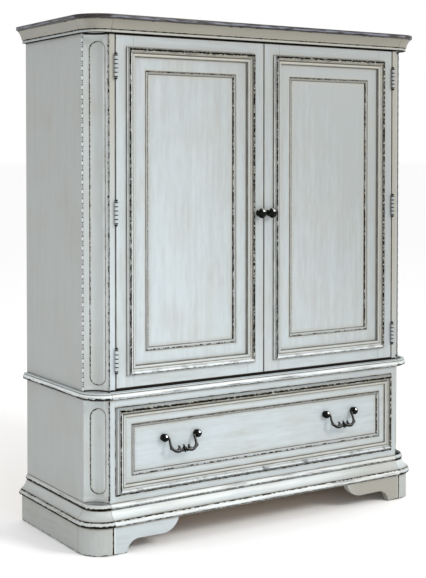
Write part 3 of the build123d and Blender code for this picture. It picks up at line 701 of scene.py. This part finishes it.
def hinge_paint(node):
    """Hinges painted over with the case: dark joints between the knuckles, dark finials, and painted shadow
    where the hinge sits back at the frame's face.
    """
    paint = Paint(f"paint_{node}", "z", 310.0 + len(node))
    for middle in HINGE_HEIGHTS:
        for index in range(KNUCKLES + 1):
            joint = middle + (index - KNUCKLES / 2) * KNUCKLE_H
            paint.black_line(abs(paint.z - joint).ramp(1.9, 0.9))
        past_barrel = abs(paint.z - middle) - KNUCKLES / 2 * KNUCKLE_H
        paint.black_line(between(past_barrel, 3.0, 26.0) * 0.9)
    # Painted shadow on the parts of the hinge that sit back at the frame's face.
    paint.stain((paint.y - FRONT).ramp(-3.0, -0.5), 0.8)
    return paint.painted()


# ---------------------------------------------------------------- wood, metal, plastic

def top_wood():
    """Nearly black stained wood with a bluish sheen painted along its edge: a painted reflection, in
    patches.
    """
    wood = Surface("stained_top")
    grain = wood.noise((260.0, 5.0, 5.0), 1.0, detail=4.0)
    wide = wood.noise((600.0, 28.0, 20.0), 2.0, detail=3.0)
    colour = wood.mix((0.010, 0.008, 0.008), (0.034, 0.026, 0.024), grain.ramp(0.3, 0.7))
    colour = wood.mix(colour, (0.008, 0.006, 0.006), wide.ramp(0.45, 0.7))
    low, high = span("top_panel", 2)
    (x0, x1), (y0, _) = span("top_panel", 0), span("top_panel", 1)
    band = between(wood.z, low + 2.5, high - 4.0, 1.2)
    patches = wood.noise((50.0, 50.0, 5.0), 3.0, detail=4.0).ramp(0.36, 0.6)
    edge = ((x1 - x0) / 2 - abs(wood.x)).least(wood.y - y0).ramp(1.5, 0.2)
    # Painted reflection: a bluish sheen in patches along the edge.
    colour = wood.mix(colour, (0.17, 0.19, 0.245), band * patches * edge * 0.6)
    wood.put(patches * 0.2 + 0.2, wood.shader.inputs["Specular IOR Level"])
    wood.lift(grain * -0.06)
    return wood.done(colour, grain.ramp(0.2, 0.8) * 0.2 + 0.24)


PALE_WOOD = (0.56, 0.40, 0.24)
DARK_WOOD = (0.36, 0.225, 0.12)


def bare_wood(name, grain, tone=1.0):
    """Unpainted, lightly sealed softwood or plywood."""
    wood = Surface(name)
    fine = wood.noise(along(grain, 500.0, 9.0), 5.0, detail=5.0, rough=0.6)
    wide = wood.noise(along(grain, 750.0, 36.0), 6.0, detail=3.0)
    rings = (wide * 9.0).op("PINGPONG", 0.5) * 2.0
    pale, dark = (tuple(c * tone for c in wood_colour) for wood_colour in (PALE_WOOD, DARK_WOOD))
    colour = wood.mix(pale, dark, rings * 0.5 + fine * 0.3)
    colour = wood.mix(colour, (0.20, 0.12, 0.065), fine.ramp(0.62, 0.78) * 0.5)
    wood.lift(fine * 0.08)
    return wood.done(colour, fine * 0.2 + 0.5)


GLINT_SIDE = (0.10, -0.80, 0.60)     # the direction of surface that gets the painted highlight


def aged_metal(name, glint):
    """Cast handles and knobs: a glossy, near-black patina, with a painted highlight where the surface faces
    up and out.
    """
    metal = Surface(name)
    mottle = metal.noise(3.5, 1.0, detail=4.0)
    rubs = metal.noise(7.0, 2.0, detail=3.0).ramp(0.52, 0.70)
    colour = metal.mix((0.001, 0.0013, 0.001), (0.006, 0.006, 0.0045), mottle.ramp(0.35, 0.7))
    colour = metal.mix(colour, (0.050, 0.047, 0.038), rubs * 0.12)
    facing = metal.node("ShaderNodeVectorMath", operation="DOT_PRODUCT")
    metal.put(metal.node("ShaderNodeTexCoord").outputs["Normal"], facing.inputs[0])
    facing.inputs[1].default_value = Vector(GLINT_SIDE).normalized()
    # Painted highlight: bright metal where the surface faces up and out.
    painted_glint = Field(metal, facing.outputs["Value"]).ramp(0.925, 0.975) * glint
    colour = metal.mix(colour, (0.80, 0.81, 0.79), painted_glint)
    metal.put(painted_glint, metal.shader.inputs["Metallic"])
    metal.lift(mottle * 0.10)
    metal.put(mottle * 0.12, metal.shader.inputs["Specular IOR Level"])
    return metal.done(colour, mottle * 0.16 + 0.08)


def steel(name, tone):
    """Zinc-plated steel of slides and catch."""
    metal = Surface(name, metallic=1.0)
    brushed = metal.noise((1.2, 160.0, 1.2), 1.0, detail=3.0)
    spangle = metal.noise(14.0, 2.0)
    colour = metal.mix(tuple(0.8 * c for c in tone), tone, brushed * 0.6 + spangle * 0.4)
    metal.lift(brushed * 0.02)
    return metal.done(colour, brushed * 0.2 + 0.28)


def glide_plastic():
    """Brown moulded glides, scuffed."""
    plastic = Surface("glide_plastic")
    scuffs = plastic.noise((3.0, 12.0, 3.0), 1.0, detail=4.0)
    colour = plastic.mix((0.055, 0.042, 0.033), (0.11, 0.09, 0.075), scuffs.ramp(0.45, 0.75))
    plastic.lift(scuffs * 0.03)
    return plastic.done(colour, scuffs * 0.2 + 0.5)


def dress(material, *nodes):
    """Gives CAD nodes a material."""
    for node in nodes:
        for slot in NODES[node].material_slots:
            slot.material = material


for node, material in {**door_paints("left"), **door_paints("right"), **drawer_paints()}.items():
    dress(material, node)

dress(frame_paint("paint_frame_stiles", "z", 140.0), "face_frame_stiles")
dress(frame_paint("paint_frame_rails", "x", 150.0), "face_frame_rails")
for place in ("front", "left", "right"):
    dress(cornice_paint(f"cornice_{place}"), f"cornice_{place}")
    dress(waist_paint(f"waist_moulding_{place}"), f"waist_moulding_{place}")
    dress(base_paint(f"base_moulding_{place}"), f"base_moulding_{place}")
for side in ("left", "right"):
    dress(post_paint(side), f"corner_post_{side}")
    dress(side_paint(side), f"side_panel_{side}")
    for leaves in (f"{side}_hinge_frame_leaves", f"{side}_hinge_door_leaves"):
        dress(hinge_paint(leaves), leaves)
for node, grain, warmth in (
        ("bracket_feet", "x", 0.04), ("plinth_blocks", "z", 0.24), ("side_skirts", "y", 0.04)):
    dress(plinth_paint(node, grain, warmth), node)

dress(top_wood(), "top_panel")
dress(bare_wood("bare_wood_across", "x"), "bottom_panel", "cupboard_floor", "cupboard_top", "shelves",
      "drawer_back", "drawer_bottom", "back_skirt")
dress(bare_wood("bare_wood_deep", "y", 0.9), "drawer_sides", "shelf_cleats", "runner_blocks")
dress(bare_wood("plywood_back", "z", 0.8), "back_panel")
BAIL_METAL = aged_metal("aged_bail", glint=0.12)
dress(aged_metal("aged_knobs", glint=1.0), "left_knob", "right_knob", "handle_posts")
dress(BAIL_METAL, "left_bail", "right_bail")
dress(steel("slide_steel", (0.60, 0.61, 0.63)), "slide_case_members", "slide_middle_members",
      "slide_drawer_members")
dress(steel("catch_steel", (0.40, 0.40, 0.41)), "door_catch", "left_catch_plate", "right_catch_plate")
dress(glide_plastic(), "glides")


# ---------------------------------------------------------------- pieces with more detail

def mesh_piece(name, shape, body, material):
    """Makes an object from a bmesh and lets it ride on a CAD body."""
    mesh = bpy.data.meshes.new(name)
    shape.to_mesh(mesh)
    shape.free()
    mesh.polygons.foreach_set("use_smooth", [True] * len(mesh.polygons))
    mesh.materials.append(material)
    piece = bpy.data.objects.new(name, mesh)
    bpy.context.scene.collection.objects.link(piece)
    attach(piece, body)
    return piece


BEAD_PITCH = 26.5         # length of one repeat
BEAD_SIDES = 8            # facets round the half circle of a bead


def bead_profile():
    """(height, radius) pairs of one repeat: a long bead and two small reels, in millimetres."""
    turns = [math.pi * i / 8 for i in range(9)]
    profile = [(8.0 - 8.0 * math.cos(turn), 1.2 + 2.8 * math.sin(turn)) for turn in turns]
    for start in (17.0, 22.0):
        for height, radius in ((0.0, 1.4), (0.6, 3.2), (2.0, 3.7), (3.4, 3.2), (4.0, 1.4)):
            profile.append((start + height, radius))
    return profile


def add_bead_strip(shape, centre_x, z_span):
    """A half-round string of beads that stands out from the side panel's seam."""
    outwards = 1 if centre_x > 0 else -1
    count = round((z_span[1] - z_span[0]) / BEAD_PITCH)
    stretch = (z_span[1] - z_span[0]) / (count * BEAD_PITCH)
    rings = []
    for index in range(count):
        for height, radius in bead_profile():
            z = z_span[0] + (index * BEAD_PITCH + height) * stretch
            ring = []
            for step in range(BEAD_SIDES + 1):
                angle = math.pi * (step / BEAD_SIDES - 0.5)
                x = centre_x + outwards * radius * math.cos(angle)
                y = ARC_Y + radius * math.sin(angle)
                ring.append(shape.verts.new((x / MM, y / MM, z / MM)))
            rings.append(ring)
    for lower, upper in zip(rings, rings[1:]):
        for i in range(BEAD_SIDES):
            shape.faces.new((lower[i], lower[i + 1], upper[i + 1], upper[i]))


def bead_strips():
    """Both strings of beads, in place of the plain strips of the CAD model."""
    shape = bmesh.new()
    for centre_x in (-BODY_HALF, BODY_HALF):
        add_bead_strip(shape, centre_x, (WAIST_Z[1], CORNICE_Z[0]))
    bmesh.ops.recalc_face_normals(shape, faces=shape.faces)
    piece = mesh_piece("bead_and_reel", shape, "cabinet", bead_paint())
    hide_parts("bead_strips")


bead_strips()


BAIL_TILT = math.radians(27.0)        # forward of plumb, as it hangs
# Half of a bail, from the ball inwards: distance from its middle, drop along its plane, radius of the rod.
BAIL_ROD = (
    (48.0, 0.0, 2.6), (45.0, 0.8, 3.2), (43.2, 5.5, 3.5), (43.4, 14.0, 3.6), (43.8, 23.0, 3.9),
    (42.0, 31.0, 4.1), (37.0, 38.4, 4.4), (30.0, 43.0, 4.6), (22.5, 44.6, 4.7), (14.5, 43.4, 4.4),
    (8.0, 40.8, 3.8), (3.0, 36.0, 3.0), (0.0, 33.5, 3.0))
# Leaves that branch off it.
BAIL_LEAF = (
    (25.5, 43.0, 3.8), (20.5, 40.5, 4.8), (17.0, 37.0, 4.8), (16.0, 33.0, 4.0), (17.6, 30.0, 3.0),
    (20.4, 29.4, 1.6))
BAIL_CURL = ((38.5, 37.5, 3.0), (42.5, 36.5, 3.5), (45.6, 33.6, 3.3), (46.2, 30.4, 2.6), (44.8, 28.4, 1.4))
BAIL_TAIL = ((9.5, 42.0, 3.0), (8.0, 45.0, 2.8), (5.0, 46.0, 1.8))
# The turned drop in its middle: drop and radius.
BAIL_DROP = (
    (26.0, 0.3), (26.6, 2.3), (28.2, 2.9), (29.8, 2.1), (31.0, 2.4), (34.0, 4.9), (37.5, 6.8),
    (40.6, 6.7), (43.6, 5.0), (45.6, 2.9), (46.6, 3.1), (47.8, 3.2), (49.2, 2.0), (49.9, 0.2))
POSTS_Z = span("handle_posts", 2)
BALL_Z = sum(POSTS_Z) / 2
BALL_Y = span("handle_posts", 1)[0] + (POSTS_Z[1] - POSTS_Z[0]) / 2


def smoothed(points, steps=4):
    """A Catmull-Rom curve through points of any number of values."""
    ends = [points[0], *points, points[-1]]
    curve = []
    for a, b, c, d in zip(ends, ends[1:], ends[2:], ends[3:]):
        for step in range(steps):
            t = step / steps
            curve.append(tuple(
                0.5 * (2 * q + (r - p) * t
                       + (2 * p - 5 * q + 4 * r - s) * t * t
                       + (3 * q - p - 3 * r + s) * t ** 3)
                for p, q, r, s in zip(a, b, c, d)))
    return [*curve, points[-1]]


def add_rings(shape, rings):
    """Skins a row of vertex rings and caps its ends."""
    for lower, upper in zip(rings, rings[1:]):
        for i in range(len(lower)):
            j = (i + 1) % len(lower)
            shape.faces.new((lower[i], lower[j], upper[j], upper[i]))
    shape.faces.new(rings[0][::-1])
    shape.faces.new(rings[-1])


def add_rod(shape, points, to_space, sides=12, flat=0.85):
    """A tapered rod along (x, drop, radius) points in the bail's plane, flattened square to the plane."""
    rings = []
    for index, (x, drop, radius) in enumerate(points):
        before, after = points[max(index - 1, 0)], points[min(index + 1, len(points) - 1)]
        along = Vector((after[0] - before[0], after[1] - before[1])).normalized()
        ring = []
        for step in range(sides):
            angle = 2 * math.pi * step / sides
            aside = radius * math.cos(angle)
            lift = radius * flat * math.sin(angle)
            ring.append(shape.verts.new(to_space(x - along.y * aside, drop + along.x * aside, lift)))
        rings.append(ring)
    add_rings(shape, rings)


def add_drop(shape, to_space, sides=16):
    """The turned drop in the middle of the bail."""
    rings = []
    for drop, radius in smoothed(BAIL_DROP, 3):
        ring = []
        for step in range(sides):
            angle = 2 * math.pi * step / sides
            ring.append(shape.verts.new(to_space(radius * math.cos(angle), drop, radius * math.sin(angle))))
        rings.append(ring)
    add_rings(shape, rings)


def bail(side):
    """A cast swan-neck bail with leaves and a turned drop."""
    middle_x = sum(span(f"{side}_bail", 0)) / 2

    def to_space(x, drop, lift):
        """From the bail's own plane to the row frame, in metres."""
        y = BALL_Y - drop * math.sin(BAIL_TILT) - lift * math.cos(BAIL_TILT)
        z = BALL_Z - drop * math.cos(BAIL_TILT) + lift * math.sin(BAIL_TILT)
        return (middle_x + x) / MM, y / MM, z / MM

    shape = bmesh.new()
    half = smoothed(BAIL_ROD)
    whole = [(-x, drop, radius) for x, drop, radius in half] + half[-2::-1]
    add_rod(shape, whole, to_space)
    for leaf in (BAIL_LEAF, BAIL_CURL, BAIL_TAIL):
        for mirror in (-1, 1):
            points = [(mirror * x, drop, radius) for x, drop, radius in smoothed(leaf)]
            add_rod(shape, points, to_space, sides=10, flat=0.75)
    add_drop(shape, to_space)
    bmesh.ops.recalc_face_normals(shape, faces=shape.faces)
    piece = mesh_piece(f"{side}_bail_casting", shape, f"{side}_bail_body", BAIL_METAL)
    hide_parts(f"{side}_bail")


for side in ("left", "right"):
    bail(side)


# ---------------------------------------------------------------- camera, light and floor

scene = bpy.context.scene
scene.view_settings.view_transform = "Standard"

# The camera is fitted to the photo's perspective.
camera_data = bpy.data.cameras.new("camera")
camera_data.lens = 76.23
camera_data.sensor_width = 36.0
camera_data.shift_y = -0.17
camera = bpy.data.objects.new("camera", camera_data)
camera.location = (-2.161, -3.261, 1.125)
camera.rotation_euler = (math.radians(88.478), 0.0, -0.574)
scene.collection.objects.link(camera)
scene.camera = camera


def area_light(name, location, target, size, power, colour):
    """A square studio light aimed at a point."""
    data = bpy.data.lights.new(name, "AREA")
    data.shape = "SQUARE"
    data.size = size
    data.energy = power
    data.color = colour
    light = bpy.data.objects.new(name, data)
    light.visible_camera = False
    light.location = location
    light.rotation_euler = (Vector(target) - Vector(location)).to_track_quat("-Z", "Y").to_euler()
    scene.collection.objects.link(light)


area_light("key", location=(2.2, -4.2, 3.4), target=(0.0, -0.2, 0.7), size=1.6, power=160.0,
           colour=(1.0, 0.985, 0.96))
area_light("low", location=(-1.6, -2.6, 0.5), target=(-0.3, -0.2, 0.4), size=1.4, power=23.0,
           colour=(0.97, 0.985, 1.0))

world = bpy.data.worlds.new("studio")
world.use_nodes = True
background = world.node_tree.nodes["Background"]
background.inputs["Color"].default_value = (1.0, 1.0, 1.0, 1.0)
background.inputs["Strength"].default_value = 1.0
scene.world = world

FLOOR_HALF = 200.0
corners = [(x * FLOOR_HALF, y * FLOOR_HALF, 0.0) for x, y in ((-1, -1), (1, -1), (1, 1), (-1, 1))]
floor_mesh = bpy.data.meshes.new("floor")
floor_mesh.from_pydata(corners, [], [(0, 1, 2, 3)])
floor_mesh.materials.append(Surface("floor").done((0.96, 0.96, 0.96), 0.7))
floor = bpy.data.objects.new("floor", floor_mesh)
scene.collection.objects.link(floor)
